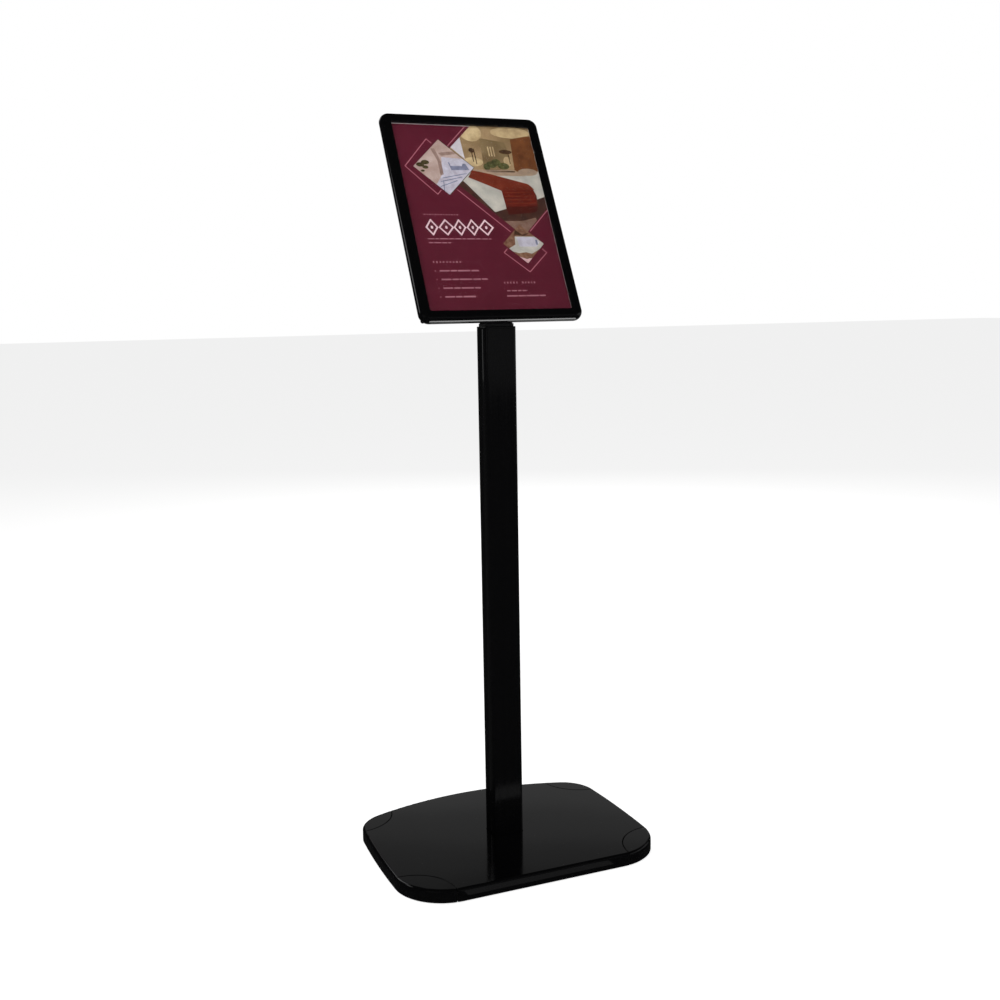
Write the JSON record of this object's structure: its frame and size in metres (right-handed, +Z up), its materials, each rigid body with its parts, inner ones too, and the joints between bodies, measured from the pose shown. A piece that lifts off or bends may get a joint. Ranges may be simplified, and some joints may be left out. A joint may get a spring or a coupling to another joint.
{
  "type": "floor sign stand",
  "caption": "Free-standing sign stand: weighted rounded base, rectangular post, and a leaned-back rounded frame for an A4 print that tilts, turns to landscape and loads through a slot.",
  "frame": {"origin": "on the floor, at the centre of the base in plan", "axes": "+Z up along the post, -Y towards the reader, +X to the reader's right"},
  "size_m": [0.388, 0.306, 1.0483],
  "materials": {
    "gloss_black_abs": "gloss",
    "satin_black_abs": "satin",
    "black_enamelled_aluminium": "gloss",
    "black_powder_coated_steel": "satin",
    "ballast_steel": "rough",
    "zinc_plated_steel": "satin",
    "blackened_steel": "satin",
    "cast_zinc": "satin",
    "nylon": "satin",
    "brass_insert": "machined",
    "rubber_black": "matte",
    "clear_acrylic": "gloss",
    "printed_card": "satin",
    "hardboard": "matte"
  },
  "bodies": {
    "stand": {"base_shell": "gloss_black_abs", "corner_cap_front_left": "gloss_black_abs", "corner_cap_front_right": "gloss_black_abs", "corner_cap_back_left": "gloss_black_abs", "corner_cap_back_right": "gloss_black_abs", "corner_cap_screws": "zinc_plated_steel", "base_floor_pan": "satin_black_abs", "floor_pan_screws": "zinc_plated_steel", "ballast_plate": "ballast_steel", "rubber_foot_front_left": "rubber_black", "rubber_foot_front_right": "rubber_black", "rubber_foot_back_left": "rubber_black", "rubber_foot_back_right": "rubber_black", "post": "black_enamelled_aluminium", "post_foot_bolts": "zinc_plated_steel", "post_foot_washers": "zinc_plated_steel", "post_top_cap": "satin_black_abs", "hinge_block": "cast_zinc", "hinge_block_screws": "blackened_steel", "tilt_friction_washers": "nylon"},
    "tilt_head": {"tilt_arm": "black_powder_coated_steel", "tilt_bolt": "blackened_steel", "tilt_bolt_nut": "blackened_steel", "tilt_bolt_washers": "blackened_steel", "swivel_friction_disc": "nylon", "swivel_spring_washer": "zinc_plated_steel"},
    "sign_frame": {"front_bezel": "gloss_black_abs", "back_shell": "satin_black_abs", "backing_board": "hardboard", "frame_screws": "blackened_steel", "swivel_bolt": "zinc_plated_steel", "swivel_insert": "brass_insert", "swivel_stop_pin": "zinc_plated_steel"},
    "lens": {"clear_lens": "clear_acrylic"},
    "print": {"print_sheet": "printed_card"}
  },
  "joints": [
    {"name": "head_tilt", "type": "hinge", "parent": "stand", "child": "tilt_head", "pos_m": [0, -0.0005, 0.775], "axis": [-1, 0, 0], "range_deg": [0, 45]},
    {"name": "frame_turn", "type": "hinge", "parent": "tilt_head", "child": "sign_frame", "pos_m": [0, 0.04966, 0.8993], "axis": [0, -0.8796, 0.4756], "range_deg": [0, 90]},
    {"name": "lens_slide", "type": "slide", "parent": "sign_frame", "child": "lens", "axis": [0, 0.4756, 0.8796], "range_m": [0, 0.28]},
    {"name": "print_slide", "type": "slide", "parent": "sign_frame", "child": "print", "axis": [0, 0.4756, 0.8796], "range_m": [0, 0.27]}
  ]
}
